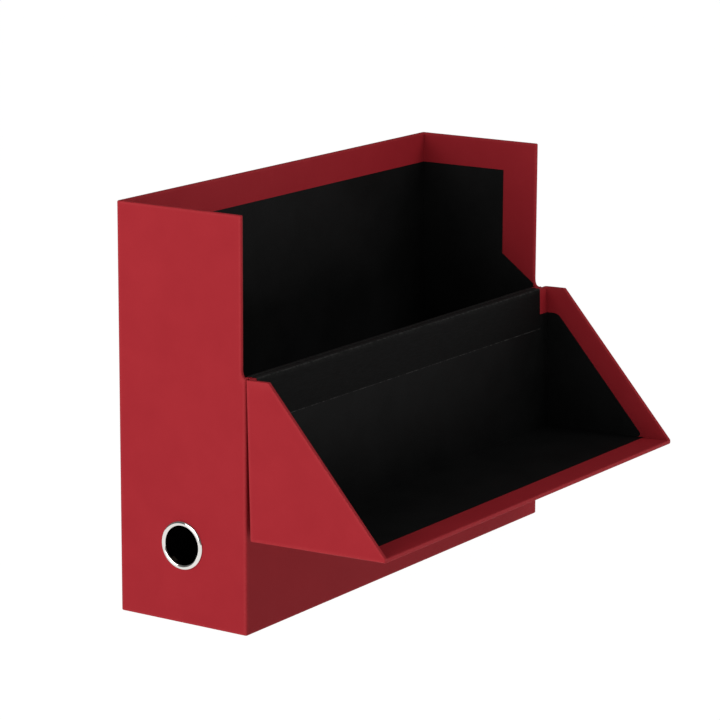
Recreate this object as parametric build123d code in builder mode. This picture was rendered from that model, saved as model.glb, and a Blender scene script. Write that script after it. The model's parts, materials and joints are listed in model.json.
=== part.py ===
from build123d import *
import os
from math import cos, radians, sin, sqrt

# A drop-front document box of paper-covered board. The case stands on its base with the
# narrow spine at -X, the far end at +X, the back at +Y and the front at -Y. The upper part
# of the front is a tray-shaped flap (front panel, top panel and two cheeks) on a cloth
# hinge. It is modelled hanging open. The origin is the middle of the case's underside.

# ---------------------------------------------------------------- driving dimensions, mm
case_length = 340.0
case_width = 95.0
case_height = 256.0
opening_height = 97.0  # from the rim down to the fixed front's top edge

board = 2.2  # greyboard
cover = 0.25  # coloured covering paper
lining = 0.25  # black lining paper
cloth = 0.25  # hinge cloth
sheet = 0.25  # sheet glued under the base
corner_radius = 1.5  # covered corners
rim_radius = 0.85  # covered board edges

rim_turn_in = 20.0  # covering paper turned down inside the rim
side_turn_in = 25.3  # and in from the front edges of the spine and the end
turn_under = 15.0  # and under the base
sheet_inset = 2.0  # base sheet in from the outside
lining_slope_top = 20.0  # sloping corner of the end linings, above the fixed front
lining_slope_foot = 1.9
lining_edge_margin = 0.6

hinge_gap = 2.4  # bare hinge between the two board edges
fold_slit = 0.3  # the hinge is cut here, at the fold, between the two bodies
cloth_depth = 27.4  # cloth on each panel's inner face
cloth_end_margin = 7.3  # from the cloth's end to the cheek, before its shift
cloth_shift = -2.6  # the strip is glued a little towards the spine
tab_height = 17.6  # covering paper turned in beside the cloth

recess_clearance = 0.5  # closed front panel to the case's front edges
side_clearance = 0.5  # cheeks to the case ends
lid_clearance = 1.2  # closed top panel to the rim
lid_overhang = 1.0  # closed top panel past the back
rest_tilt = 1.5  # degrees that the open flap stands out from plumb

cheek_top = 16.0  # cheek's short edge beside the hinge
cheek_turn_in = 15.0  # covering paper inside the sloping edge
lid_turn_in = 19.0  # covering paper inside the top panel's free edge
cheek_lining_radius = 8.0
lining_corner_radius = 2.0

ring_height = 49.3  # finger ring's centre above the base
ring_diameter = 31.0
ring_bore = 24.6
ring_wall = 0.7  # barrel
ring_flange = 1.5  # how far the flange stands proud
ring_lip = 0.5  # barrel rolled over behind the washer
lip_diameter = 29.0
washer_thickness = 0.5
washer_diameter = 32.0
ring_clearance = 0.1

# ---------------------------------------------------------------------- derived values
wall = cover + board + lining
board_corner = corner_radius - cover
board_rim = rim_radius - cover

half_length = case_length / 2
half_width = case_width / 2
board_length = case_length - 2 * cover  # over the back and front boards
inside_boards_length = case_length - 2 * (cover + board)
inside_boards_width = case_width - 2 * (cover + board)
inside_length = case_length - 2 * wall
inside_width = case_width - 2 * wall

board_foot = sheet + cover
base_top = board_foot + board
board_top = case_height - cover
front_top = case_height - opening_height
lining_top = case_height - rim_turn_in

front_recess = cover + board + max(lining, cloth) + recess_clearance
front_edge_y = front_recess - half_width
front_board_inside_y = cover + board - half_width
lining_edge_y = front_edge_y + side_turn_in

# The hinge axis lies half the gap outside the fixed front and half the gap above it.
# A hinge side plane sits on the axis, with its x down the panel and its y away from the
# other panel, so that the fixed front and the flap's front panel have one set of places.
half_gap = hinge_gap / 2
axis_y = -half_width - half_gap
axis_z = front_top + half_gap
tilt = radians(rest_tilt)
case_side = Plane(origin=(0, axis_y, axis_z), x_dir=(0, 0, -1), z_dir=(1, 0, 0))
flap_side = Plane(
    origin=(0, axis_y, axis_z), x_dir=(0, -sin(tilt), -cos(tilt)), z_dir=(-1, 0, 0)
)

panel_out = half_gap  # outer face of the panel
panel_board_in = panel_out + cover + board
panel_in = panel_out + wall
cloth_half = half_length + side_clearance - cloth_end_margin

lid_in = case_height + lid_clearance - axis_z  # inner face of the top panel
lid_out = lid_in + wall
lid_tip = half_width + lid_overhang - axis_y  # free edge of the top panel
cheek_in = half_length + side_clearance
cheek_board_in = cheek_in + lining
cheek_out = cheek_in + wall

cheek_slope = (lid_tip - panel_out - cheek_top) / (lid_out - wall - half_gap)
cheek_outline = [
    (half_gap, panel_out),
    (half_gap, panel_out + cheek_top),
    (lid_out - wall, lid_tip),
    (lid_out, lid_tip),
    (lid_out, panel_out),
]
flap_section = [
    (half_gap, panel_out),
    (half_gap, panel_in),
    (lid_in, panel_in),
    (lid_in, lid_tip),
    (lid_out, lid_tip),
    (lid_out, panel_out),
]

barrel_radius = ring_bore / 2 + ring_wall
hole_radius = barrel_radius + ring_clearance
barrel_end = wall + washer_thickness + ring_lip  # depth behind the flange


def turn_in_edge(down):
    """Edge of the turned-in paper along a cheek's slope, at a distance down the panel."""
    slant = sqrt(1 + cheek_slope**2)
    return (
        panel_out + cheek_top + (down - half_gap) * cheek_slope - cheek_turn_in * slant
    )


def end_outline():
    """Spine and end boards, in Y and Z, with the step that the front board covers."""
    step = front_top - cover
    back = inside_boards_width / 2
    return [
        (front_board_inside_y, board_foot),
        (back, board_foot),
        (back, board_top),
        (front_edge_y + cover, board_top),
        (front_edge_y + cover, step),
        (front_board_inside_y, step),
    ]


def end_lining_outline():
    """Lining of the spine and the end, with the sloping corner near the hinge."""
    step = front_top - cover
    low_y = front_edge_y + lining_edge_margin
    back = inside_boards_width / 2
    return [
        (front_board_inside_y, base_top),
        (back, base_top),
        (back, lining_top),
        (lining_edge_y, lining_top),
        (lining_edge_y, front_top + lining_slope_top),
        (low_y, front_top + lining_slope_foot),
        (low_y, step),
        (front_board_inside_y, step),
    ]


def free_board_edges(part):
    """Edges of a spine or end board that the covering paper is folded over."""
    tops = part.edges().filter_by_position(Axis.Z, board_top, board_top).filter_by(Axis.Y)
    recess = front_edge_y + cover
    fronts = part.edges().filter_by_position(Axis.Y, recess, recess).filter_by(Axis.Z)
    return tops + fronts


# ------------------------------------------------------------------------- case: boards
with BuildPart() as base_board:
    with BuildSketch(Plane.XY.offset(board_foot)):
        Rectangle(inside_boards_length, inside_boards_width)
    extrude(amount=board)

with BuildPart() as spine_board:
    with BuildSketch(Plane.YZ.offset(cover - half_length)):
        Polygon(*end_outline(), align=None)
        with Locations((0, ring_height)):
            Circle(hole_radius, mode=Mode.SUBTRACT)
    extrude(amount=board)
    fillet(free_board_edges(spine_board), board_rim)

with BuildPart() as end_board:
    with BuildSketch(Plane.YZ.offset(half_length - cover - board)):
        Polygon(*end_outline(), align=None)
    extrude(amount=board)
    fillet(free_board_edges(end_board), board_rim)

with BuildPart() as back_board:
    with BuildSketch(Plane.XY.offset(board_foot)):
        with Locations((0, half_width - cover - board / 2)):
            Rectangle(board_length, board)
    extrude(amount=board_top - board_foot)
    fillet(back_board.edges().filter_by(Axis.Z).group_by(Axis.Y)[-1], board_corner)
    fillet(back_board.faces().sort_by(Axis.Z)[-1].edges(), board_rim)

with BuildPart() as front_board:
    with BuildSketch(Plane.XY.offset(board_foot)):
        with Locations((0, cover + board / 2 - half_width)):
            Rectangle(board_length, board)
    extrude(amount=front_top - cloth - board_foot)
    fillet(front_board.edges().filter_by(Axis.Z).group_by(Axis.Y)[0], board_corner)
    fillet(front_board.faces().sort_by(Axis.Z)[-1].edges(), board_rim)

# ------------------------------------------------------------------------ case: linings
with BuildPart() as base_lining:
    with BuildSketch(Plane.XY.offset(base_top)):
        Rectangle(inside_length, inside_width)
    extrude(amount=lining)

with BuildPart() as spine_lining:
    with BuildSketch(Plane.YZ.offset(cover + board - half_length)):
        Polygon(*end_lining_outline(), align=None)
        with Locations((0, ring_height)):
            Circle(hole_radius, mode=Mode.SUBTRACT)
    extrude(amount=lining)

with BuildPart() as end_lining:
    with BuildSketch(Plane.YZ.offset(half_length - wall)):
        Polygon(*end_lining_outline(), align=None)
    extrude(amount=lining)

with BuildPart() as back_lining:
    with BuildSketch(Plane.XY.offset(base_top)):
        with Locations((0, half_width - wall + lining / 2)):
            Rectangle(inside_length, lining)
    extrude(amount=lining_top - base_top)

with BuildPart() as front_lining:
    with BuildSketch(Plane.XZ.offset(-front_board_inside_y)):
        with Locations((0, base_top)):
            Rectangle(
                inside_length,
                front_top - tab_height - base_top,
                align=(Align.CENTER, Align.MIN),
            )
        with Locations((cloth_shift, front_top - cloth_depth)):
            Rectangle(
                2 * cloth_half,
                cloth_depth,
                align=(Align.CENTER, Align.MIN),
                mode=Mode.SUBTRACT,
            )
    extrude(amount=-lining)


# ------------------------------------------------------------------------- hinge cloth
def cloth_section():
    """Cloth on a panel's inner face, over its edge and out to the fold."""
    inner = panel_board_in + cloth
    return [
        (half_gap, fold_slit / 2),
        (half_gap, inner),
        (half_gap + cloth_depth, inner),
        (half_gap + cloth_depth, panel_board_in),
        (half_gap + cloth, panel_board_in),
        (half_gap + cloth, fold_slit / 2),
    ]


with BuildPart() as case_hinge_cloth:
    with BuildSketch(case_side.offset(cloth_shift)):
        Polygon(*cloth_section(), align=None)
    extrude(amount=cloth_half, both=True)
    inner_fold = case_hinge_cloth.edges().filter_by(Axis.X).sort_by(Axis.Y)[-2:]
    fillet(inner_fold.sort_by(Axis.Z)[-1], board_rim)

# --------------------------------------------------------------- case: covering papers
with BuildPart() as case_cover:
    with BuildSketch(Plane.XY.offset(sheet)):
        RectangleRounded(case_length, case_width, corner_radius)
    extrude(amount=case_height - sheet)
    with BuildSketch(Plane.XY.offset(base_top)):
        Rectangle(inside_length, inside_width)
    extrude(amount=case_height, mode=Mode.SUBTRACT)
    with BuildSketch(Plane.XY.offset(front_top)):
        with Locations((0, -half_width)):
            Rectangle(case_length, 2 * front_recess)
    extrude(amount=case_height, mode=Mode.SUBTRACT)
    rim_edges = case_cover.edges().filter_by_position(Axis.Z, case_height, case_height)
    front_edges = case_cover.edges().filter_by_position(Axis.Y, front_edge_y, front_edge_y)
    fillet(rim_edges.sort_by(Axis.Y)[2:] + front_edges.filter_by(Axis.Z), rim_radius)
    with BuildSketch(Plane.XY.offset(sheet)):
        Rectangle(case_length - 2 * turn_under, case_width - 2 * turn_under)
    extrude(amount=cover, mode=Mode.SUBTRACT)
    with BuildSketch(case_side.offset(-half_length)):
        with Locations((half_gap + cloth, fold_slit / 2)):
            Rectangle(cover, panel_out, align=(Align.MIN, Align.MIN))
    extrude(amount=case_length)
    with BuildSketch(Plane.YZ.offset(-half_length)):
        with Locations((0, ring_height)):
            Circle(hole_radius)
    extrude(amount=wall, mode=Mode.SUBTRACT)
    for inside_piece in (
        base_board,
        spine_board,
        end_board,
        back_board,
        front_board,
        spine_lining,
        end_lining,
        back_lining,
        front_lining,
        case_hinge_cloth,
    ):
        add(inside_piece.part, mode=Mode.SUBTRACT)

with BuildPart() as base_sheet:
    with BuildSketch():
        Rectangle(case_length - 2 * sheet_inset, case_width - 2 * sheet_inset)
    extrude(amount=sheet)

# ------------------------------------------------------------------- case: finger ring
# The ring's sections lie in a plane through its axis: x out of the spine, y across it.
ring_plane = Plane(origin=(-half_length, 0, ring_height), x_dir=(-1, 0, 0), z_dir=(0, 0, 1))
ring_axis = Axis((-half_length, 0, ring_height), (-1, 0, 0))

with BuildPart() as finger_ring:
    with BuildSketch(ring_plane):
        with BuildLine():
            flange_arc = ThreePointArc(
                (0, ring_diameter / 2),
                (ring_flange, (ring_diameter + ring_bore) / 4),
                (0, ring_bore / 2),
            )
            Line(flange_arc @ 1, flange_arc @ 0)
        make_face()
        with Locations((-barrel_end, ring_bore / 2)):
            Rectangle(barrel_end, ring_wall, align=(Align.MIN, Align.MIN))
            Rectangle(
                ring_lip, (lip_diameter - ring_bore) / 2, align=(Align.MIN, Align.MIN)
            )
    revolve(axis=ring_axis)

with BuildPart() as ring_washer:
    with BuildSketch(ring_plane):
        with Locations((-wall - washer_thickness, hole_radius)):
            Rectangle(
                washer_thickness,
                washer_diameter / 2 - hole_radius,
                align=(Align.MIN, Align.MIN),
            )
    revolve(axis=ring_axis)

def heel_edge(part):
    """The flap's lowest edge along X, nearest to the fixed front."""
    return part.edges().filter_by(Axis.X).group_by(Axis.Z)[0].sort_by(Axis.Y)[-1]


# ------------------------------------------------------------------------- flap: boards
with BuildPart() as flap_front_board:
    with BuildSketch(flap_side):
        with Locations((half_gap + cloth, panel_out + cover)):
            Rectangle(
                lid_out - cover - half_gap - cloth, board, align=(Align.MIN, Align.MIN)
            )
    extrude(amount=cheek_board_in, both=True)
    fillet(heel_edge(flap_front_board), board_corner)
    high_edges = flap_front_board.edges().filter_by(Axis.X).group_by(Axis.Z)[-1]
    fillet(high_edges.sort_by(Axis.Y)[0], board_rim)

with BuildPart() as flap_top_board:
    with BuildSketch(flap_side):
        with Locations((lid_in + lining, panel_board_in)):
            Rectangle(board, lid_tip - cover - panel_board_in, align=(Align.MIN, Align.MIN))
    extrude(amount=cheek_board_in, both=True)
    tip_face = flap_top_board.faces().sort_by(Axis.Y)[0]
    fillet(tip_face.edges().filter_by(Axis.X), board_rim)


def cheek_board_solid(side):
    """One cheek's board: side 1 is at the spine, -1 at the far end."""
    with BuildPart() as cheek:
        with BuildSketch(flap_side.offset(side * cheek_board_in)):
            Polygon(*cheek_outline, align=None)
            offset(amount=-cover, kind=Kind.INTERSECTION, mode=Mode.REPLACE)
        extrude(amount=side * board)
        fillet(heel_edge(cheek), board_corner)
        fillet(cheek.edges().group_by(Axis.X)[0 if side > 0 else -1], board_rim)
    return cheek


spine_cheek_board = cheek_board_solid(1)
end_cheek_board = cheek_board_solid(-1)

# ------------------------------------------------------------------------ flap: linings
with BuildPart() as flap_front_lining:
    with BuildSketch(flap_side):
        with Locations((half_gap + tab_height, panel_board_in)):
            Rectangle(
                lid_in - half_gap - tab_height, lining, align=(Align.MIN, Align.MIN)
            )
    extrude(amount=cheek_in, both=True)
    with BuildSketch(flap_side.offset(-cloth_shift)):
        with Locations((half_gap, panel_board_in)):
            Rectangle(cloth_depth, lining, align=(Align.MIN, Align.MIN))
    extrude(amount=cloth_half, both=True, mode=Mode.SUBTRACT)

with BuildPart() as flap_top_lining:
    with BuildSketch(flap_side):
        with Locations((lid_in, panel_in)):
            Rectangle(
                lining, lid_tip - lid_turn_in - panel_in, align=(Align.MIN, Align.MIN)
            )
    extrude(amount=cheek_in, both=True)


def cheek_lining_solid(side):
    """Lining of one cheek, set in from its sloping edge by the turned-in paper."""
    head = half_gap + tab_height
    with BuildPart() as piece:
        with BuildSketch(flap_side.offset(side * cheek_in)):
            Polygon(
                (head, panel_in),
                (head, turn_in_edge(head)),
                (lid_in, turn_in_edge(lid_in)),
                (lid_in, panel_in),
                align=None,
            )
        extrude(amount=side * lining)
        slope_ends = piece.edges().filter_by(Axis.X).sort_by(Axis.Y)
        fillet(slope_ends[0], lining_corner_radius)
        slope_ends = piece.edges().filter_by(Axis.X).sort_by(Axis.Z)
        fillet(slope_ends[-2:].sort_by(Axis.Y)[0], cheek_lining_radius)
    return piece


spine_cheek_lining = cheek_lining_solid(1)
end_cheek_lining = cheek_lining_solid(-1)

with BuildPart() as flap_hinge_cloth:
    with BuildSketch(flap_side.offset(-cloth_shift)):
        Polygon(*cloth_section(), align=None)
    extrude(amount=cloth_half, both=True)


# --------------------------------------------------------------- flap: covering papers
def cheek_cover_solid(side, inside_pieces):
    """Covering paper of one cheek, over its short and sloping edges and turned in."""
    with BuildPart() as piece:
        with BuildSketch(flap_side.offset(side * cheek_in)):
            Polygon(*cheek_outline, align=None)
        extrude(amount=side * wall)
        fillet(heel_edge(piece), corner_radius)
        with BuildSketch(flap_side.offset(side * cheek_in)):
            Polygon(*flap_section, align=None)
        extrude(amount=side * wall, mode=Mode.SUBTRACT)
        for inside_piece in inside_pieces:
            add(inside_piece.part, mode=Mode.SUBTRACT)
    return piece


spine_cheek_cover = cheek_cover_solid(1, (spine_cheek_board, spine_cheek_lining))
end_cheek_cover = cheek_cover_solid(-1, (end_cheek_board, end_cheek_lining))

with BuildPart() as flap_cover:
    with BuildSketch(flap_side):
        Polygon(*flap_section, align=None)
    extrude(amount=cheek_out, both=True)
    fillet(heel_edge(flap_cover), corner_radius)
    fillet(flap_cover.faces().sort_by(Axis.Y)[0].edges().filter_by(Axis.X), rim_radius)
    with BuildSketch(flap_side):
        with Locations((half_gap + cloth, fold_slit / 2)):
            Rectangle(cover, panel_out, align=(Align.MIN, Align.MIN))
    extrude(amount=half_length, both=True)
    for inside_piece in (
        flap_front_board,
        flap_top_board,
        spine_cheek_board,
        end_cheek_board,
        flap_front_lining,
        flap_top_lining,
        flap_hinge_cloth,
    ):
        add(inside_piece.part, mode=Mode.SUBTRACT)

# ----------------------------------------------------------------------------- export
pieces = {
    "base_board": base_board,
    "spine_board": spine_board,
    "end_board": end_board,
    "back_board": back_board,
    "front_board": front_board,
    "base_lining": base_lining,
    "spine_lining": spine_lining,
    "end_lining": end_lining,
    "back_lining": back_lining,
    "front_lining": front_lining,
    "case_hinge_cloth": case_hinge_cloth,
    "case_cover": case_cover,
    "base_sheet": base_sheet,
    "finger_ring": finger_ring,
    "ring_washer": ring_washer,
    "flap_front_board": flap_front_board,
    "flap_top_board": flap_top_board,
    "spine_cheek_board": spine_cheek_board,
    "end_cheek_board": end_cheek_board,
    "flap_front_lining": flap_front_lining,
    "flap_top_lining": flap_top_lining,
    "spine_cheek_lining": spine_cheek_lining,
    "end_cheek_lining": end_cheek_lining,
    "flap_hinge_cloth": flap_hinge_cloth,
    "spine_cheek_cover": spine_cheek_cover,
    "end_cheek_cover": end_cheek_cover,
    "flap_cover": flap_cover,
}

os.makedirs("parts", exist_ok=True)
for label, piece in pieces.items():
    piece.part.label = label
    export_step(piece.part, f"parts/{label}.step")
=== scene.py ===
"""Looks of the drop-front document box: paper-covered boards, cloth hinge, nickel ring."""

import json
from math import cos, pi, radians, sin

import bmesh
import bpy
from mathutils import Matrix, Vector, noise
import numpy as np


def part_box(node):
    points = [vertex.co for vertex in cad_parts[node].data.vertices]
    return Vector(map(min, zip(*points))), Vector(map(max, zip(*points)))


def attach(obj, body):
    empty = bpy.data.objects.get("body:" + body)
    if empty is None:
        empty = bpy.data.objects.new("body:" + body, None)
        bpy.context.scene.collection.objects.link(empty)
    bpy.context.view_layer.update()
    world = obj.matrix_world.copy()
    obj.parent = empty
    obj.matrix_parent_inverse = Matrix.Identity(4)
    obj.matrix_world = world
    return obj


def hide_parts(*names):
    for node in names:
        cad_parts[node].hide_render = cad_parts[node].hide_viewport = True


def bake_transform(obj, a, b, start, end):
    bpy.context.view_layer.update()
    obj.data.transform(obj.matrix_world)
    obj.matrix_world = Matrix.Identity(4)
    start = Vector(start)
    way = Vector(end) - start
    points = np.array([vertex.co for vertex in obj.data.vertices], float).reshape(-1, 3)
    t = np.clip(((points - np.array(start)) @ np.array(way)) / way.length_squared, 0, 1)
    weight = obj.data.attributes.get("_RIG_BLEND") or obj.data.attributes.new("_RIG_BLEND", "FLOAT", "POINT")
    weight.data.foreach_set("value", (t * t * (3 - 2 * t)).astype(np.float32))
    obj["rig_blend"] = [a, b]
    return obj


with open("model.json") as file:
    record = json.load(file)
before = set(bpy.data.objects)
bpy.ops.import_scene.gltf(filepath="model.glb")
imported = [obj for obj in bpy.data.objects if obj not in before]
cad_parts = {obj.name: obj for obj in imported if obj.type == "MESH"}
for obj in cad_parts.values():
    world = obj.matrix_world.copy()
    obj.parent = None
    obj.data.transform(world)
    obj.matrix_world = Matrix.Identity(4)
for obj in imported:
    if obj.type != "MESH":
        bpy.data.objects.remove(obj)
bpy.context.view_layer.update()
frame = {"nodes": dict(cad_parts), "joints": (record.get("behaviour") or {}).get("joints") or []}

# ------------------------------------------------------------------ sizes, in millimetres
MM = 0.001


def low(node):
    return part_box(node)[0] / MM


def high(node):
    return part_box(node)[1] / MM


HALF_LENGTH = high("case_cover").x
HALF_WIDTH = high("case_cover").y
HEIGHT = high("case_cover").z
FOOT = low("case_cover").z  # the covering paper starts on the base sheet
FRONT_TOP = high("case_hinge_cloth").z
BOARD = high("base_board").z - low("base_board").z
COVER = HALF_LENGTH - high("back_board").x
LINING = high("base_lining").z - low("base_lining").z
WALL = COVER + BOARD + LINING
LAP_STEP = 0.10  # a lining lies this much above the turned-in paper under its edge
PAPER_WALL = WALL - LAP_STEP  # from outer paper face to turned-in paper face
LAP = 4.0  # turned-in paper that reaches under the linings
FRONT_EDGE_DEPTH = 3.2  # from the fixed front's face back to the side walls' edges
FRONT_EDGE_Y = FRONT_EDGE_DEPTH - HALF_WIDTH
RIM_TURN_IN = HEIGHT - high("back_lining").z
SIDE_TURN_IN = 25.3  # paper turned in round the side walls' front edges
TURN_UNDER = 15.0  # paper turned under the case
TAB_HEIGHT = FRONT_TOP - high("front_lining").z
CLOTH_LEFT = low("case_hinge_cloth").x
CLOTH_RIGHT = high("case_hinge_cloth").x
CLOTH_DEPTH = FRONT_TOP - low("case_hinge_cloth").z
CORNER_RADIUS = 1.5
RIM_RADIUS = 0.85
CHEEK_RADIUS = 1.2
CRISP_RADIUS = 0.45
# the paler colour of a fold is rubbed wear and painted highlight together
WEAR_AND_HIGHLIGHT_FADE = 1.2  # the rubbing of a fold fades out over this strip beside it
HOLE_RADIUS = 13.4  # hole in the spine's paper, under the ring's flange
RING_BORE = 12.1
RIM_TRIM = 0.25  # the drawn flange stays this much inside the CAD ring

HINGE = Vector(frame["joints"][0]["pos_m"]) / MM
HALF_GAP = HINGE.z - FRONT_TOP
REST_TILT = radians(1.5)
CHEEK_OUT = high("flap_cover").x
CHEEK_TOP = 16.0  # level part of a cheek's edge, before the slope
LID_OVERHANG = 0.98  # shut, the top panel ends this far past the back
LID_CLEARANCE = 1.2  # shut, the top panel's lining is this far above the rim
LID_TIP = HALF_WIDTH + LID_OVERHANG - HINGE.y
LID_OUT = HEIGHT + LID_CLEARANCE - HINGE.z + WALL
LID_TURN_IN = 19.0
CHEEK_TURN_IN = 15.0
PAPER_RETURN = 6.0  # how far the hinge's covering paper runs down each panel
SHEET = 0.2  # thickness of the drawn cloth and paper at the hinge
GLUED_FROM = 3.0  # past the hinge gap the sheets lie flat from here on
END_STRIP = 0.45  # narrow strip at a sheet's cut edge, where it is rubbed
SEAT = 0.05  # reach within which a face counts as lying on a level

RING_AT = (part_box("finger_ring")[0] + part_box("finger_ring")[1]) / 2 / MM


def flap_matrix():
    """Places points of the open flap, written as (across, out, down) from the hinge."""
    c, s = cos(REST_TILT), sin(REST_TILT)
    return Matrix(
        ((1, 0, 0, 0), (0, -c, -s, HINGE.y), (0, s, -c, HINGE.z), (0, 0, 0, 1))
    )


# --------------------------------------------------------------------------- materials
# mesh mark for paler folds and edges: rubbed wear and painted highlight
WEAR_AND_HIGHLIGHT_LAYER = "wear_and_highlight"


class Nodes:
    """Short way to build a material's node tree."""

    def __init__(self, name, **inputs):
        self.material = bpy.data.materials.new(name)
        self.material.use_nodes = True
        self.tree = self.material.node_tree
        self.shader = self.tree.nodes["Principled BSDF"]
        for key, value in inputs.items():
            self.shader.inputs[key.replace("_", " ")].default_value = value
        self.place = self.node("ShaderNodeTexCoord").outputs["Object"]

    def node(self, kind, **settings):
        made = self.tree.nodes.new(kind)
        for key, value in settings.items():
            setattr(made, key, value)
        return made

    def link(self, source, target):
        self.tree.links.new(source, target)

    def wear_and_highlight(self):
        """The mesh's own mark for paler places: rubbed wear and painted highlight on folds and edges."""
        return self.node("ShaderNodeAttribute", attribute_name=WEAR_AND_HIGHLIGHT_LAYER).outputs["Fac"]

    def stretched(self, scale):
        """Object coordinates multiplied by a vector."""
        mapping = self.node("ShaderNodeMapping")
        mapping.inputs["Scale"].default_value = scale
        self.link(self.place, mapping.inputs["Vector"])
        return mapping.outputs["Vector"]

    def noise(self, scale, detail, roughness=0.6, place=None):
        made = self.node("ShaderNodeTexNoise")
        made.inputs["Scale"].default_value = scale
        made.inputs["Detail"].default_value = detail
        made.inputs["Roughness"].default_value = roughness
        self.link(place or self.place, made.inputs["Vector"])
        return made.outputs["Fac"]

    def ramp(self, value, start, end, low_value=0.0, high_value=1.0):
        """Value mapped from start..end to low..high, clamped."""
        made = self.node("ShaderNodeMapRange")
        for key, number in (
            ("From Min", start),
            ("From Max", end),
            ("To Min", low_value),
            ("To Max", high_value),
        ):
            made.inputs[key].default_value = number
        self.link(value, made.inputs["Value"])
        return made.outputs["Result"]

    def maths(self, operation, first, second):
        made = self.node("ShaderNodeMath", operation=operation)
        for socket, value in zip(made.inputs, (first, second)):
            if isinstance(value, (int, float)):
                socket.default_value = value
            else:
                self.link(value, socket)
        return made.outputs["Value"]

    def blend(self, factor, first, second):
        """Colour between two colours, each a tuple or a socket."""
        made = self.node("ShaderNodeMix", data_type="RGBA")
        self.link(factor, made.inputs["Factor"])
        for key, value in (("A", first), ("B", second)):
            socket = [s for s in made.inputs if s.name == key and s.type == "RGBA"][0]
            if isinstance(value, tuple):
                socket.default_value = (*value, 1.0)
            else:
                self.link(value, socket)
        return [s for s in made.outputs if s.type == "RGBA"][0]

    def bump(self, height, distance, strength, under=None):
        made = self.node("ShaderNodeBump")
        made.inputs["Distance"].default_value = distance
        made.inputs["Strength"].default_value = strength
        self.link(height, made.inputs["Height"])
        if under:
            self.link(under, made.inputs["Normal"])
        return made.outputs["Normal"]

    def finish(self, colour, roughness, normal):
        self.link(colour, self.shader.inputs["Base Color"])
        self.link(roughness, self.shader.inputs["Roughness"])
        self.link(normal, self.shader.inputs["Normal"])
        return self.material


def red_paper():
    """Dyed covering paper: faint mottling and fibres, paler on folds and edges, as rubbed wear and painted
    highlight.
    """
    paper = Nodes("red_covering_paper", Specular_IOR_Level=0.05)
    mottle = paper.noise(45.0, 4.0)
    cloud = paper.noise(9.0, 2.0)
    fibres = paper.noise(1.0, 3.0, 0.65, paper.stretched((1300, 1300, 420)))
    grain = paper.noise(4200.0, 2.0)
    half_mottle = paper.maths("MULTIPLY", mottle, 0.5)
    half_cloud = paper.maths("MULTIPLY", cloud, 0.5)
    tone = paper.ramp(paper.maths("ADD", half_mottle, half_cloud), 0.38, 0.62)
    colour = paper.blend(tone, (0.276, 0.0142, 0.0205), (0.300, 0.0170, 0.0235))
    darker = paper.ramp(fibres, 0.30, 0.75, 0.0, 0.35)
    colour = paper.blend(darker, colour, (0.262, 0.0125, 0.0180))
    # paler red on the marked folds and edges: rubbed wear and painted highlight together
    broken = paper.ramp(paper.noise(700.0, 4.0), 0.35, 0.7, 0.1, 0.5)
    rubbed_and_highlit = paper.maths("MULTIPLY", paper.wear_and_highlight(), broken)
    colour = paper.blend(rubbed_and_highlit, colour, (0.36, 0.035, 0.04))
    roughness = paper.ramp(grain, 0.3, 0.7, 0.5, 0.62)
    normal = paper.bump(fibres, 0.00003, 0.6)
    normal = paper.bump(grain, 0.000012, 0.8, normal)
    return paper.finish(colour, roughness, normal)


def black_paper():
    """Black lining paper: dense, slightly uneven, with a faint fibre grain."""
    paper = Nodes("black_lining_paper", Specular_IOR_Level=0.08)
    fibres = paper.noise(1.0, 4.0, 0.7, paper.stretched((900, 900, 500)))
    cloud = paper.noise(30.0, 3.0)
    specks = paper.noise(2600.0, 2.0)
    tone = paper.ramp(cloud, 0.35, 0.65)
    colour = paper.blend(tone, (0.0028, 0.0030, 0.0030), (0.0046, 0.0048, 0.0048))
    paler = paper.ramp(fibres, 0.55, 0.8, 0.0, 0.5)
    colour = paper.blend(paler, colour, (0.010, 0.010, 0.010))
    roughness = paper.ramp(specks, 0.3, 0.7, 0.5, 0.66)
    normal = paper.bump(fibres, 0.00004, 0.7)
    normal = paper.bump(specks, 0.00001, 0.8, normal)
    return paper.finish(colour, roughness, normal)


def black_cloth():
    """Hinge cloth: a close plain weave with a slubby grain, grey at its edges and bends, as rubbed wear and
    painted highlight.
    """
    cloth = Nodes("black_hinge_cloth", Specular_IOR_Level=0.07, Sheen_Weight=0.012)
    cloth.shader.inputs["Sheen Roughness"].default_value = 0.5
    per_metre = 2600 / 3
    threads = []
    for axes in ((per_metre, 0, 0), (0, per_metre, per_metre)):
        wave = cloth.node("ShaderNodeTexWave", wave_type="BANDS", bands_direction="DIAGONAL")
        wave.inputs["Scale"].default_value = 1.0
        wave.inputs["Distortion"].default_value = 1.2
        wave.inputs["Detail"].default_value = 2.0
        wave.inputs["Detail Scale"].default_value = 1.5
        cloth.link(cloth.stretched(axes), wave.inputs["Vector"])
        threads.append(wave.outputs["Fac"])
    weave = cloth.maths("MULTIPLY", threads[0], threads[1])
    slubs = cloth.noise(1.0, 4.0, 0.7, cloth.stretched((160, 1400, 1400)))
    tone = cloth.ramp(slubs, 0.35, 0.7)
    colour = cloth.blend(tone, (0.0008, 0.0009, 0.0009), (0.0026, 0.0027, 0.0026))
    raised = cloth.ramp(weave, 0.2, 0.9, 0.0, 0.5)
    colour = cloth.blend(raised, colour, (0.0040, 0.0040, 0.0039))
    # grey on the marked edges and bends: rubbed wear and painted highlight together
    broken = cloth.ramp(cloth.noise(420.0, 3.0), 0.42, 0.62, 0.15, 1.0)
    rubbed_and_highlit = cloth.maths("MULTIPLY", cloth.wear_and_highlight(), broken)
    colour = cloth.blend(rubbed_and_highlit, colour, (0.085, 0.083, 0.080))
    roughness = cloth.ramp(slubs, 0.3, 0.7, 0.55, 0.75)
    normal = cloth.bump(weave, 0.00006, 0.7)
    normal = cloth.bump(slubs, 0.00008, 0.6, normal)
    return cloth.finish(colour, roughness, normal)


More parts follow.
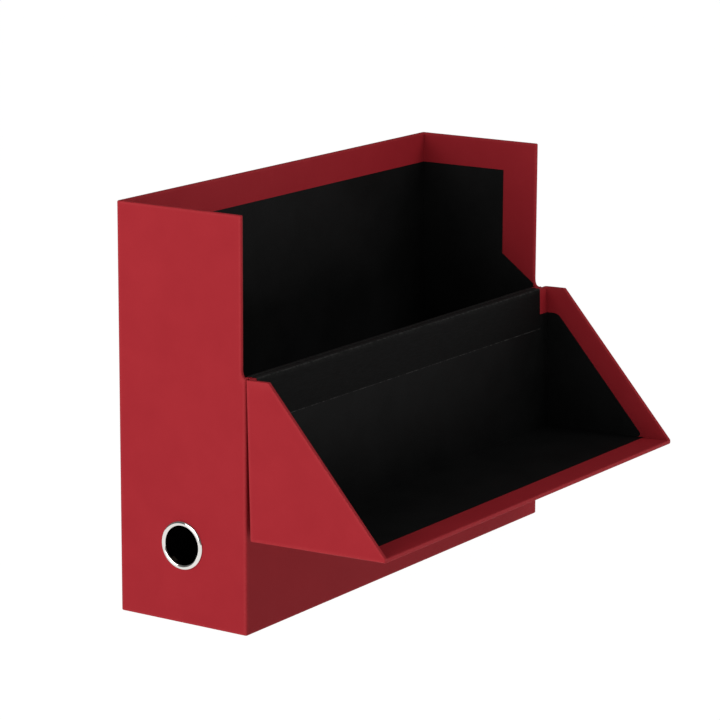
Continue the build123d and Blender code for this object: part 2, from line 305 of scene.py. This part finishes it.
def grey_board():
    """Greyboard core: pulp grey-brown with coarse fibres."""
    core = Nodes("greyboard", Specular_IOR_Level=0.2)
    pulp = core.noise(350.0, 5.0, 0.7)
    flecks = core.noise(1500.0, 2.0)
    colour = core.blend(core.ramp(pulp, 0.3, 0.7), (0.24, 0.22, 0.19), (0.36, 0.34, 0.30))
    colour = core.blend(core.ramp(flecks, 0.62, 0.72, 0.0, 0.5), colour, (0.10, 0.09, 0.08))
    roughness = core.ramp(pulp, 0.3, 0.7, 0.8, 0.92)
    normal = core.bump(pulp, 0.00008, 0.8)
    return core.finish(colour, roughness, normal)


def nickel():
    """Bright nickel plating with faint polishing marks, and painted shade inside the barrel: near-black
    there.
    """
    metal = Nodes("nickel_plate", Metallic=1.0)
    marks = metal.noise(1.0, 3.0, 0.6, metal.stretched((2500, 500, 500)))
    haze = metal.noise(220.0, 3.0)
    colour = metal.blend(metal.ramp(haze, 0.3, 0.7), (0.74, 0.72, 0.69), (0.80, 0.78, 0.75))
    radius = metal.node("ShaderNodeVectorMath", operation="DISTANCE")
    metal.link(metal.stretched((0, 1 / MM, 1 / MM)), radius.inputs[0])
    radius.inputs[1].default_value = (0, 0, RING_AT.z)
    shade_free_radius, full_shade_radius = 12.45, 12.2  # distances from the ring's axis, in millimetres
    # painted shade: the colour turns near-black inside the barrel, between these distances from the axis
    barrel = metal.ramp(radius.outputs["Value"], shade_free_radius, full_shade_radius)
    colour = metal.blend(barrel, colour, (0.035, 0.026, 0.018))
    roughness = metal.ramp(haze, 0.3, 0.75, 0.06, 0.13)
    normal = metal.bump(marks, 0.000006, 0.5)
    return metal.finish(colour, roughness, normal)


RED = red_paper()
BLACK = black_paper()
CLOTH = black_cloth()
CORE = grey_board()
NICKEL = nickel()


# ------------------------------------------------------------------------- mesh helpers
def solid_from_faces(polygons):
    """bmesh of a closed solid, from the corner points of its faces."""
    bm = bmesh.new()
    bm.verts.layers.float.new(WEAR_AND_HIGHLIGHT_LAYER)
    made = {}

    def vert(point):
        key = tuple(round(c, 5) for c in point)
        if key not in made:
            made[key] = bm.verts.new(key)
        return made[key]

    for polygon in polygons:
        bm.faces.new([vert(point) for point in polygon])
    bmesh.ops.recalc_face_normals(bm, faces=bm.faces)
    return bm


def outlines_strip(edge, in_strip):
    """True on the convex corners beside a strip of faces."""
    return turns(edge) and any(in_strip(face) for face in edge.link_faces)


def turns(edge):
    """True where two faces meet at a convex corner."""
    return len(edge.link_faces) == 2 and edge.calc_face_angle_signed(0.0) > radians(20)


def round_edges(bm, wanted, radius):
    """Rounds the edges that are wanted, and marks them for rubbed wear and painted highlight."""
    result = bmesh.ops.bevel(
        bm,
        geom=[edge for edge in bm.edges if wanted(edge)],
        offset=radius,
        offset_type="OFFSET",
        segments=4,
        profile=0.5,
        affect="EDGES",
        clamp_overlap=False,
    )
    layer = bm.verts.layers.float[WEAR_AND_HIGHLIGHT_LAYER]
    for face in result["faces"]:
        for vert in face.verts:
            vert[layer] = 1.0


def cut(bm, place, normal):
    """Adds an edge loop where a plane crosses the mesh."""
    bmesh.ops.bisect_plane(
        bm,
        geom=[*bm.verts, *bm.edges, *bm.faces],
        dist=1e-5,
        plane_co=place,
        plane_no=normal,
    )


def mark_worn_and_highlit_folds(bm):
    """Marks the papers afresh after their cuts: folds and slopes get rubbed wear and painted highlight,
    panels not.
    """
    layer = bm.verts.layers.float[WEAR_AND_HIGHLIGHT_LAYER]
    bm.normal_update()
    for vert in bm.verts:
        flat = all(max(abs(c) for c in face.normal) > 0.999 for face in vert.link_faces)
        vert[layer] = 0.0 if flat else 1.0


def finish_piece(
    bm, name, material, body=None, replaced=(), thickness=0.0, matrix=None, angle=35
):
    """Object of a bmesh in millimetres: thickened inwards, placed, shaded and riding."""
    if matrix:
        bm.transform(matrix)
    bm.transform(Matrix.Scale(MM, 4))
    mesh = bpy.data.meshes.new(name)
    bm.to_mesh(mesh)
    bm.free()
    piece = bpy.data.objects.new(name, mesh)
    bpy.context.scene.collection.objects.link(piece)
    if thickness:
        shell = piece.modifiers.new("paper", "SOLIDIFY")
        shell.thickness = thickness * MM
        shell.offset = -1.0
        shell.use_even_offset = False
        apply_modifiers(piece)
    shade(piece, angle)
    piece.data.materials.clear()
    piece.data.materials.append(material)
    if body:
        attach(piece, body)
    if replaced:
        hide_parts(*replaced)
    return piece


def apply_modifiers(piece):
    """Makes the modifiers' result the piece's own mesh."""
    graph = bpy.context.evaluated_depsgraph_get()
    mesh = bpy.data.meshes.new_from_object(piece.evaluated_get(graph))
    old = piece.data
    piece.modifiers.clear()
    piece.data = mesh
    bpy.data.meshes.remove(old)


def shade(piece, angle):
    """Smooth shading with flat panels kept flat."""
    mesh = piece.data
    mesh.polygons.foreach_set("use_smooth", [True] * len(mesh.polygons))
    mesh.set_sharp_from_angle(angle=radians(angle))
    weighted = piece.modifiers.new("flat_panels", "WEIGHTED_NORMAL")
    weighted.keep_sharp = True
    weighted.weight = 90


def near(a, b, tolerance=0.01):
    return abs(a - b) < tolerance


def behind_cloth(place):
    """True where the hinge cloth hides the paper."""
    return CLOTH_LEFT + LAP < place.x < CLOTH_RIGHT - LAP


# --------------------------------------------------------------------------- the case
def case_paper():
    """Covering paper of the case: round the walls, over the rims, turned in and under."""
    x, y, z = HALF_LENGTH, HALF_WIDTH, HEIGHT  # outside
    xi, yi, zi = x - PAPER_WALL, y - PAPER_WALL, FOOT + WALL  # inside
    ye, zf = FRONT_EDGE_Y, FRONT_TOP - LAP_STEP  # side walls' edges, fixed front's rim
    xu, yu = x - TURN_UNDER, y - TURN_UNDER  # end of the paper under the case
    faces = [
        [(-x, y, FOOT), (x, y, FOOT), (x, y, z), (-x, y, z)],
        [(-x, -y, FOOT), (x, -y, FOOT), (x, -y, zf), (-x, -y, zf)],
        [(-xi, yi, zi), (xi, yi, zi), (xi, yi, z), (-xi, yi, z)],
        [(-xi, -yi, zi), (xi, -yi, zi), (xi, -yi, zf), (-xi, -yi, zf)],
        [(-x, y, z), (x, y, z), (xi, yi, z), (-xi, yi, z)],
        [
            (-x, -y, zf),
            (x, -y, zf),
            (x, ye, zf),
            (xi, ye, zf),
            (xi, -yi, zf),
            (-xi, -yi, zf),
            (-xi, ye, zf),
            (-x, ye, zf),
        ],
    ]
    for side in (-1, 1):
        outer, inner = side * x, side * xi
        faces += [
            [
                (outer, -y, FOOT),
                (outer, -y, zf),
                (outer, ye, zf),
                (outer, ye, z),
                (outer, y, z),
                (outer, y, FOOT),
            ],
            [
                (inner, -yi, zi),
                (inner, -yi, zf),
                (inner, ye, zf),
                (inner, ye, z),
                (inner, yi, z),
                (inner, yi, zi),
            ],
            [(outer, ye, z), (inner, ye, z), (inner, yi, z), (outer, y, z)],
            [(outer, ye, zf), (inner, ye, zf), (inner, ye, z), (outer, ye, z)],
        ]
    corners = [(-1, -1), (1, -1), (1, 1), (-1, 1)]
    for (ax, ay), (bx, by) in zip(corners, corners[1:] + corners[:1]):
        under_a, under_b = (ax * xu, ay * yu, FOOT), (bx * xu, by * yu, FOOT)
        faces.append([(ax * x, ay * y, FOOT), (bx * x, by * y, FOOT), under_b, under_a])
        faces.append([under_a, under_b, (bx * xi, by * yi, zi), (ax * xi, ay * yi, zi)])
    bm = solid_from_faces(faces)

    def upright(edge):
        a, b = (v.co for v in edge.verts)
        return near(abs(a.x), x) and near(a.x, b.x) and near(abs(a.y), y) and near(a.y, b.y)

    round_edges(bm, upright, CORNER_RADIUS)

    def on_edge_strip(face):
        points = [v.co for v in face.verts]
        levels = [all(near(p.z, level) for p in points) for level in (z, zf)]
        return any(levels) or all(near(p.y, ye) for p in points)

    round_edges(bm, lambda edge: outlines_strip(edge, on_edge_strip), RIM_RADIUS)

    def foot_edge(edge):
        a, b = (v.co for v in edge.verts)
        low_edge = near(a.z, FOOT) and near(b.z, FOOT)
        outside = [abs(v.x) > xu + 1 or abs(v.y) > yu + 1 for v in (a, b)]
        return low_edge and all(outside) and turns(edge)

    round_edges(bm, foot_edge, RIM_RADIUS)

    for side in (-1, 1):
        cut(bm, (side * (x - CORNER_RADIUS - WEAR_AND_HIGHLIGHT_FADE), 0, 0), (1, 0, 0))
        cut(bm, (0, side * (y - CORNER_RADIUS - WEAR_AND_HIGHLIGHT_FADE), 0), (0, 1, 0))
        cut(bm, (side * (x - CORNER_RADIUS), 0, 0), (1, 0, 0))
    for cloth_end in (CLOTH_LEFT + LAP, CLOTH_RIGHT - LAP):
        cut(bm, (cloth_end, 0, 0), (1, 0, 0))
    cut(bm, (0, ye + RIM_RADIUS + WEAR_AND_HIGHLIGHT_FADE, 0), (0, 1, 0))
    cut(bm, (0, ye + SIDE_TURN_IN + LAP, 0), (0, 1, 0))
    for level in (
        z - RIM_RADIUS - WEAR_AND_HIGHLIGHT_FADE,
        z - RIM_TURN_IN - LAP,
        FOOT + RIM_RADIUS + WEAR_AND_HIGHLIGHT_FADE,
        FRONT_TOP - LAP,
        FRONT_TOP - TAB_HEIGHT - LAP,
        FRONT_TOP - PAPER_RETURN,
    ):
        cut(bm, (0, 0, level), (0, 0, 1))

    def without_paper(face):
        """True where a face only closes the solid: no covering paper shows there."""
        c = face.calc_center_median()
        if abs(c.x) > xi + SEAT or abs(c.y) > yi + SEAT:
            if c.z < FOOT + SEAT:
                return False
            on_front = c.y < -y + 0.01 and abs(c.x) < x - CORNER_RADIUS
            under_hinge_paper = on_front and c.z > FRONT_TOP - PAPER_RETURN
            under_cloth = near(c.z, zf, SEAT) and c.y < ye and behind_cloth(c)
            return under_hinge_paper or under_cloth
        if c.z < zi - SEAT:
            return c.z > FOOT + SEAT
        if c.z > z - RIM_TURN_IN - LAP:
            return False
        if near(c.y, -yi):
            return behind_cloth(c) or c.z < FRONT_TOP - TAB_HEIGHT - LAP
        if near(abs(c.x), xi):
            return c.y > ye + SIDE_TURN_IN + LAP or c.z < FRONT_TOP - LAP
        return near(c.y, yi)

    mark_worn_and_highlit_folds(bm)
    bmesh.ops.delete(bm, geom=[f for f in bm.faces if without_paper(f)], context="FACES")
    piece = finish_piece(bm, "case_paper", RED, thickness=COVER)
    bore_hole(piece)
    shade(piece, 35)
    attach(piece, "case")
    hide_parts("case_cover")


def bore_hole(piece):
    """Cuts the finger hole through the spine's paper, under the ring's flange."""
    bm = bmesh.new()
    radius = HOLE_RADIUS * MM
    bmesh.ops.create_cone(
        bm, cap_ends=True, segments=96, radius1=radius, radius2=radius, depth=8 * MM
    )
    bm.transform(Matrix.Rotation(radians(90), 4, "Y"))
    bm.transform(Matrix.Translation(Vector((-HALF_LENGTH, 0, RING_AT.z)) * MM))
    mesh = bpy.data.meshes.new("hole_cutter")
    bm.to_mesh(mesh)
    bm.free()
    cutter = bpy.data.objects.new("hole_cutter", mesh)
    bpy.context.scene.collection.objects.link(cutter)
    hole = piece.modifiers.new("hole", "BOOLEAN")
    hole.operation = "DIFFERENCE"
    hole.solver = "EXACT"
    hole.object = cutter
    bpy.context.view_layer.update()
    piece.modifiers.remove(piece.modifiers["flat_panels"])
    apply_modifiers(piece)
    bpy.data.objects.remove(cutter)


# --------------------------------------------------------------------------- the flap
def flap_paper():
    """Covering paper of the flap: panels, cheeks, free edges and the turned-in margins."""
    x, xi = CHEEK_OUT, CHEEK_OUT - PAPER_WALL  # across, outside and inside
    o, oi = HALF_GAP, HALF_GAP + PAPER_WALL  # front panel's faces, outwards
    d, di = LID_OUT, LID_OUT - PAPER_WALL  # top panel's faces, downwards
    top = HALF_GAP
    head = top + LAP_STEP
    short = o + CHEEK_TOP
    faces = [
        [(-x, o, head), (x, o, head), (x, o, d), (-x, o, d)],
        [(-xi, oi, head), (xi, oi, head), (xi, oi, di), (-xi, oi, di)],
        [(-x, o, d), (x, o, d), (x, LID_TIP, d), (-x, LID_TIP, d)],
        [(-xi, oi, di), (xi, oi, di), (xi, LID_TIP, di), (-xi, LID_TIP, di)],
        [
            (-x, LID_TIP, d),
            (x, LID_TIP, d),
            (x, LID_TIP, di),
            (xi, LID_TIP, di),
            (-xi, LID_TIP, di),
            (-x, LID_TIP, di),
        ],
        [
            (-x, o, head),
            (x, o, head),
            (x, short, head),
            (xi, short, head),
            (xi, oi, head),
            (-xi, oi, head),
            (-xi, short, head),
            (-x, short, head),
        ],
    ]
    for side in (-1, 1):
        outer, inner = side * x, side * xi
        faces += [
            [
                (outer, o, head),
                (outer, short, head),
                (outer, LID_TIP, di),
                (outer, LID_TIP, d),
                (outer, o, d),
            ],
            [(inner, oi, head), (inner, short, head), (inner, LID_TIP, di), (inner, oi, di)],
            [
                (outer, short, head),
                (inner, short, head),
                (inner, LID_TIP, di),
                (outer, LID_TIP, di),
            ],
        ]
    bm = solid_from_faces(faces)

    def cheek_corner(edge):
        a, b = (v.co for v in edge.verts)
        at_head = all(near(p.y, short) and near(p.z, head) for p in (a, b))
        return at_head and not near(a.x, b.x)

    round_edges(bm, cheek_corner, CRISP_RADIUS)

    def folded(edge):
        a, b = (v.co for v in edge.verts)
        along_out = near(a.z, d) and near(b.z, d) and near(a.x, b.x)
        corner = near(a.y, o) and near(b.y, o) and near(a.x, b.x)
        heel = near(a.z, d) and near(b.z, d) and near(a.y, o) and near(b.y, o)
        return ((along_out or corner) and near(abs(a.x), x)) or heel

    round_edges(bm, folded, CHEEK_RADIUS)

    def on_edge_strip(face):
        points = [v.co for v in face.verts]
        at_panel = all(near(p.y, oi) for p in points) or all(near(p.z, di) for p in points)
        free = face.normal.y - face.normal.z > 0.9 and abs(face.normal.x) < 0.1
        return free and not at_panel

    round_edges(bm, lambda edge: outlines_strip(edge, on_edge_strip), CRISP_RADIUS)

    for side in (-1, 1):
        cut(bm, (side * (x - CORNER_RADIUS - WEAR_AND_HIGHLIGHT_FADE), 0, 0), (1, 0, 0))
    for cloth_end in (CLOTH_LEFT + LAP, CLOTH_RIGHT - LAP):
        cut(bm, (cloth_end, 0, 0), (1, 0, 0))
    cut(bm, (0, o + CORNER_RADIUS + WEAR_AND_HIGHLIGHT_FADE, 0), (0, 1, 0))
    cut(bm, (0, LID_TIP - RIM_RADIUS - WEAR_AND_HIGHLIGHT_FADE, 0), (0, 1, 0))
    cut(bm, (0, LID_TIP - LID_TURN_IN - LAP, 0), (0, 1, 0))
    cut(bm, (0, 0, d - CORNER_RADIUS - WEAR_AND_HIGHLIGHT_FADE), (0, 0, 1))
    cut(bm, (0, 0, top + TAB_HEIGHT + LAP), (0, 0, 1))
    cut(bm, (0, 0, top + PAPER_RETURN), (0, 0, 1))
    slope = Vector((0, LID_TIP - short, di - head)).normalized()
    inward = Vector((0, -slope.z, slope.y))
    start = Vector((0, short, head))
    for inset in (RIM_RADIUS + WEAR_AND_HIGHLIGHT_FADE, CHEEK_TURN_IN + LAP):
        cut(bm, start + inward * inset, inward)

    def without_paper(face):
        """True where a face only closes the solid: no covering paper shows there."""
        c = face.calc_center_median()
        if near(c.z, head, SEAT) and behind_cloth(c):
            return True
        if near(c.y, oi):
            return behind_cloth(c) or c.z > top + TAB_HEIGHT + LAP
        if near(c.z, di):
            return c.y < LID_TIP - LID_TURN_IN - LAP
        if near(abs(c.x), xi):
            deep = (c - start).dot(inward) > CHEEK_TURN_IN + LAP
            return deep and c.z > top + TAB_HEIGHT + LAP
        return False

    mark_worn_and_highlit_folds(bm)
    bmesh.ops.delete(bm, geom=[f for f in bm.faces if without_paper(f)], context="FACES")
    piece = finish_piece(
        bm,
        "flap_paper",
        RED,
        body="flap",
        replaced=("flap_cover", "spine_cheek_cover", "end_cheek_cover"),
        thickness=COVER,
        matrix=flap_matrix(),
    )


# --------------------------------------------------------------------------- the hinge
def hinge_point(across, out, down):
    """Place of a point of the hinge: out is negative on the fixed front's side."""
    share = min(1.0, max(0.0, (out + HALF_GAP) / (2 * HALF_GAP)))
    tilt = REST_TILT * share
    y = HINGE.y - out * cos(tilt) - down * sin(tilt)
    z = HINGE.z - down * cos(tilt) + out * sin(tilt)
    return Vector((across, y, z))


def rounded_path(corners, radius):
    """Points along straight runs with a rounded turn at each inner corner."""
    steps = 5
    path = [Vector(corners[0])]
    for before, corner, after in zip(corners, corners[1:], corners[2:]):
        before, corner, after = Vector(before), Vector(corner), Vector(after)
        reach = min(radius, (before - corner).length / 2, (after - corner).length / 2)
        start = corner + (before - corner).normalized() * reach
        end = corner + (after - corner).normalized() * reach
        for i in range(steps + 1):
            t = i / steps
            path.append(start.lerp(corner, t).lerp(corner.lerp(end, t), t))
    path.append(Vector(corners[-1]))
    return path


def densified(path, step):
    """The same path with long runs divided, and a narrow strip kept at each end."""
    dense = [path[0]]
    for a, b in zip(path, path[1:]):
        count = max(1, round((b - a).length / step))
        dense += [a.lerp(b, (i + 1) / count) for i in range(count)]
    first = dense[0] + (dense[1] - dense[0]).normalized() * END_STRIP
    last = dense[-1] + (dense[-2] - dense[-1]).normalized() * END_STRIP
    return [dense[0], first, *dense[1:-1], last, dense[-1]]


def crease(x, out, seed):
    """Small uneven rise of the cloth or paper near the fold: long waves and fine ones."""
    rise = 0.0
    for height, across, along, shift in ((0.11, 0.045, 0.4, 0), (0.05, 0.23, 1.3, 7)):
        rise += height * noise.noise(Vector((x * across, out * along, seed + shift)))
    return rise


def bend_wear_and_highlight(path, j):
    """Rubbed wear and painted highlight along a sheet's path: full at its cut edges, light where it bends.
    """
    if j in (0, len(path) - 1):
        return 1.0
    bend = abs((path[j + 1] - path[j]).angle(path[j] - path[j - 1], 0.0))
    return min(0.3, bend * 0.8)


def hinge_sheet(name, path, ends, material, replaced, flip, seed, columns):
    """Sheet swept along the hinge from a path of (out, down) points, blended at the fold."""
    bm = bmesh.new()
    wear_and_highlight = bm.verts.layers.float.new(WEAR_AND_HIGHLIGHT_LAYER)
    rows = []
    for i in range(columns + 1):
        x = ends[0] + (ends[1] - ends[0]) * i / columns
        row = []
        for j, point in enumerate(path):
            before = path[max(0, j - 1)]
            after = path[min(len(path) - 1, j + 1)]
            along = (after - before).normalized()
            free = max(0.0, 1.0 - abs(point.x) / (HALF_GAP + GLUED_FROM))
            lift = crease(x, point.x, seed) * free
            placed = Vector((point.x - along.y * lift, point.y + along.x * lift))
            vert = bm.verts.new(hinge_point(x, placed.x, placed.y))
            vert[wear_and_highlight] = bend_wear_and_highlight(path, j)
            row.append(vert)
        rows.append(row)
    for first, second in zip(rows, rows[1:]):
        for j in range(len(path) - 1):
            quad = [first[j], first[j + 1], second[j + 1], second[j]]
            bm.faces.new(quad[::-1] if flip else quad)
    piece = finish_piece(bm, name, material, thickness=SHEET, angle=60)
    piece.modifiers.remove(piece.modifiers["flat_panels"])
    start = hinge_point(0, -HALF_GAP, HALF_GAP) * MM
    end = hinge_point(0, HALF_GAP, HALF_GAP) * MM
    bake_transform(piece, "case", "flap", start=start, end=end)
    if replaced:
        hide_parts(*replaced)
    return piece


def hinge_cloth():
    """Black cloth up the fixed front, over both board edges and down the flap."""
    proud, hump = 0.15, 0.55  # above the linings, and over the middle of the gap
    inner = HALF_GAP + WALL + proud
    corners = [
        (-inner, HALF_GAP + CLOTH_DEPTH),
        (-inner, HALF_GAP),
        (-HALF_GAP, HALF_GAP),
        (0, HALF_GAP - hump),
        (HALF_GAP, HALF_GAP),
        (inner, HALF_GAP),
        (inner, HALF_GAP + CLOTH_DEPTH),
    ]
    piece = hinge_sheet(
        "hinge_cloth",
        densified(rounded_path(corners, radius=0.8), step=2.5),
        (CLOTH_LEFT, CLOTH_RIGHT),
        CLOTH,
        replaced=("case_hinge_cloth", "flap_hinge_cloth"),
        flip=True,
        seed=3.0,
        columns=260,
    )


def hinge_gusset(side):
    """Covering paper drawn up in a small curve from the hinge to a wall's front edge."""
    rise, reach, steps = 5.0, 2.4, 8
    rim = FRONT_TOP - LAP_STEP
    foot, root = rim - 0.6, FRONT_EDGE_Y + 1.0  # sunk into the rim and the wall's edge
    curve = []
    for i in range(steps + 1):
        turn = pi / 2 * i / steps
        curve.append((FRONT_EDGE_Y - reach * (1 - cos(turn)), rim + rise * (1 - sin(turn))))
    outline = [*curve, (curve[-1][0], foot), (root, foot), (root, curve[0][1])]
    inner = side * (HALF_LENGTH - PAPER_WALL + 0.1)
    outer = side * (HALF_LENGTH - 0.02)
    faces = [[(inner, *p) for p in outline], [(outer, *p) for p in outline]]
    for a, b in zip(outline, outline[1:] + outline[:1]):
        faces.append([(inner, *a), (outer, *a), (outer, *b), (inner, *b)])
    bm = solid_from_faces(faces)

    def free_edge(edge):
        a, b = (v.co for v in edge.verts)
        on_curve = all(any(near(v.y, y) and near(v.z, z) for y, z in curve) for v in (a, b))
        return on_curve and near(a.x, b.x)

    round_edges(bm, free_edge, RIM_RADIUS - 0.1)
    name = "spine_gusset" if side < 0 else "end_gusset"
    piece = finish_piece(bm, name, RED, body="case", angle=50)


def hinge_paper():
    """Red covering paper across the fold, from the fixed front's face to the flap's."""
    drop = HALF_GAP + LAP_STEP + SHEET
    hump = 0.5
    corners = [
        (-HALF_GAP, HALF_GAP + PAPER_RETURN),
        (-HALF_GAP, drop),
        (0, drop - hump),
        (HALF_GAP, drop),
        (HALF_GAP, HALF_GAP + PAPER_RETURN),
    ]
    piece = hinge_sheet(
        "hinge_paper",
        densified(rounded_path(corners, radius=0.5), step=1.0),
        (CORNER_RADIUS - HALF_LENGTH, HALF_LENGTH - CORNER_RADIUS),
        RED,
        replaced=(),
        flip=False,
        seed=11.0,
        columns=240,
    )


# --------------------------------------------------------------------- the finger ring
def finger_ring():
    """Ring turned from sheet: a rolled flange, the barrel and the lip behind the washer."""
    outer = (high("finger_ring").y - low("finger_ring").y) / 2 - RIM_TRIM
    bore = RING_BORE
    proud = -HALF_LENGTH - low("finger_ring").x
    back = high("finger_ring").x + HALF_LENGTH
    barrel = bore + 0.7  # outside of the sheet metal's barrel
    mid = (outer + bore) / 2
    profile = []
    steps = 18
    for i in range(steps + 1):  # rolled flange, from its outer foot over to the bore
        turn = pi * i / steps
        radius = mid + (outer - bore) / 2 * cos(turn)
        rise = proud * sin(turn) ** 0.8 if 0 < i < steps else 0.0
        profile.append((rise, radius))
    lip_steps = 8
    lip, lip_sheet, curl = 14.5, 0.5, 1.1
    profile.append((-back + curl, bore))
    for i in range(1, lip_steps + 1):  # lip rolled outwards behind the washer
        turn = pi / 2 * i / lip_steps
        profile.append((-back + curl - curl * sin(turn), bore + curl * (1 - cos(turn))))
    profile += [
        (-back, lip),
        (-back + lip_sheet, lip),
        (-back + lip_sheet, barrel + 0.4),
        (-back + 1.0, barrel),
        (-0.02, barrel),
        (0.0, barrel + 0.1),
    ]
    bm = bmesh.new()
    segments = 144
    slices = []
    for i in range(segments):
        turn = 2 * pi * i / segments
        slices.append(
            [
                bm.verts.new((-HALF_LENGTH - out, r * sin(turn), RING_AT.z + r * cos(turn)))
                for out, r in profile
            ]
        )
    for first, second in zip(slices, slices[1:] + slices[:1]):
        for j in range(len(profile)):
            k = (j + 1) % len(profile)
            bm.faces.new([first[j], first[k], second[k], second[j]])
    bmesh.ops.recalc_face_normals(bm, faces=bm.faces)
    piece = finish_piece(
        bm, "nickel_finger_ring", NICKEL, body="case", replaced=("finger_ring",)
    )


case_paper()
flap_paper()
hinge_cloth()
hinge_paper()
hinge_gusset(-1)
hinge_gusset(1)
finger_ring()


# ------------------------------------------------------------------ carried-over nodes
def dress(names, material):
    """Puts a material on CAD nodes whose shape is already right."""
    for name in names:
        node = frame["nodes"][name]
        node.data.materials.clear()
        node.data.materials.append(material)


node_names = sorted(frame["nodes"])
dress([n for n in node_names if "board" in n], CORE)
dress([n for n in node_names if "lining" in n], BLACK)
dress(["base_sheet"], RED)
dress(["ring_washer"], NICKEL)


# --------------------------------------------------------------- floor, lights, camera
def area_light(name, place, target, size, power):
    """White rectangular lamp, from where it stands, what it faces, its size and watts."""
    data = bpy.data.lights.new(name, "AREA")
    data.shape = "RECTANGLE"
    data.size, data.size_y = size
    data.energy = power
    lamp = bpy.data.objects.new(name, data)
    lamp.location = place
    aim = Vector(target) - Vector(place)
    lamp.rotation_euler = aim.to_track_quat("-Z", "Y").to_euler()
    bpy.context.scene.collection.objects.link(lamp)


def studio():
    """White floor that glows by itself, dim surroundings and two soft lamps."""
    bm = bmesh.new()
    floor_reach = 6.0
    bmesh.ops.create_grid(bm, x_segments=8, y_segments=8, size=floor_reach)
    mesh = bpy.data.meshes.new("floor")
    bm.to_mesh(mesh)
    bm.free()
    floor = bpy.data.objects.new("floor", mesh)
    bpy.context.scene.collection.objects.link(floor)
    pale = bpy.data.materials.new("pale_floor")
    pale.use_nodes = True
    surface = pale.node_tree.nodes["Principled BSDF"]
    surface.inputs["Base Color"].default_value = (0.02, 0.02, 0.02, 1)
    surface.inputs["Roughness"].default_value = 0.9
    surface.inputs["Specular IOR Level"].default_value = 0.0
    surface.inputs["Emission Color"].default_value = (1, 1, 1, 1)
    surface.inputs["Emission Strength"].default_value = 1.0
    floor.data.materials.append(pale)

    world = bpy.data.worlds.new("studio")
    world.use_nodes = True
    background = world.node_tree.nodes["Background"]
    background.inputs["Color"].default_value = (1, 1, 1, 1)
    background.inputs["Strength"].default_value = 0.15
    bpy.context.scene.world = world
    area_light("key", (-1.5, 0.2, 0.5), (-0.1, 0, 0.12), (0.9, 0.9), 18)
    area_light("fill", (0.5, -1.5, 1.5), (0, 0, 0.12), (1.2, 0.9), 17)


def camera():
    """The photograph's viewpoint: where it stands, what it aims at, and its lens."""
    azimuth, elevation, roll = radians(-56.267), radians(12.640), radians(0.260)
    aim = Vector((0.00686, -0.01038, 0.13294))
    distance = 2.0288
    flat = cos(elevation)
    back = Vector((sin(azimuth) * flat, -cos(azimuth) * flat, sin(elevation)))
    level = Vector((cos(azimuth), sin(azimuth), 0))
    upright = back.cross(level)
    right = level * cos(roll) + upright * sin(roll)
    data = bpy.data.cameras.new("camera")
    data.sensor_width = 36
    data.lens = 157.895
    data.clip_end = 50
    seen = bpy.data.objects.new("camera", data)
    turn = Matrix((right, back.cross(right), back)).transposed().to_4x4()
    seen.matrix_world = Matrix.Translation(aim + back * distance) @ turn
    bpy.context.scene.collection.objects.link(seen)
    bpy.context.scene.camera = seen


studio()
camera()
bpy.context.scene.view_settings.view_transform = "Standard"
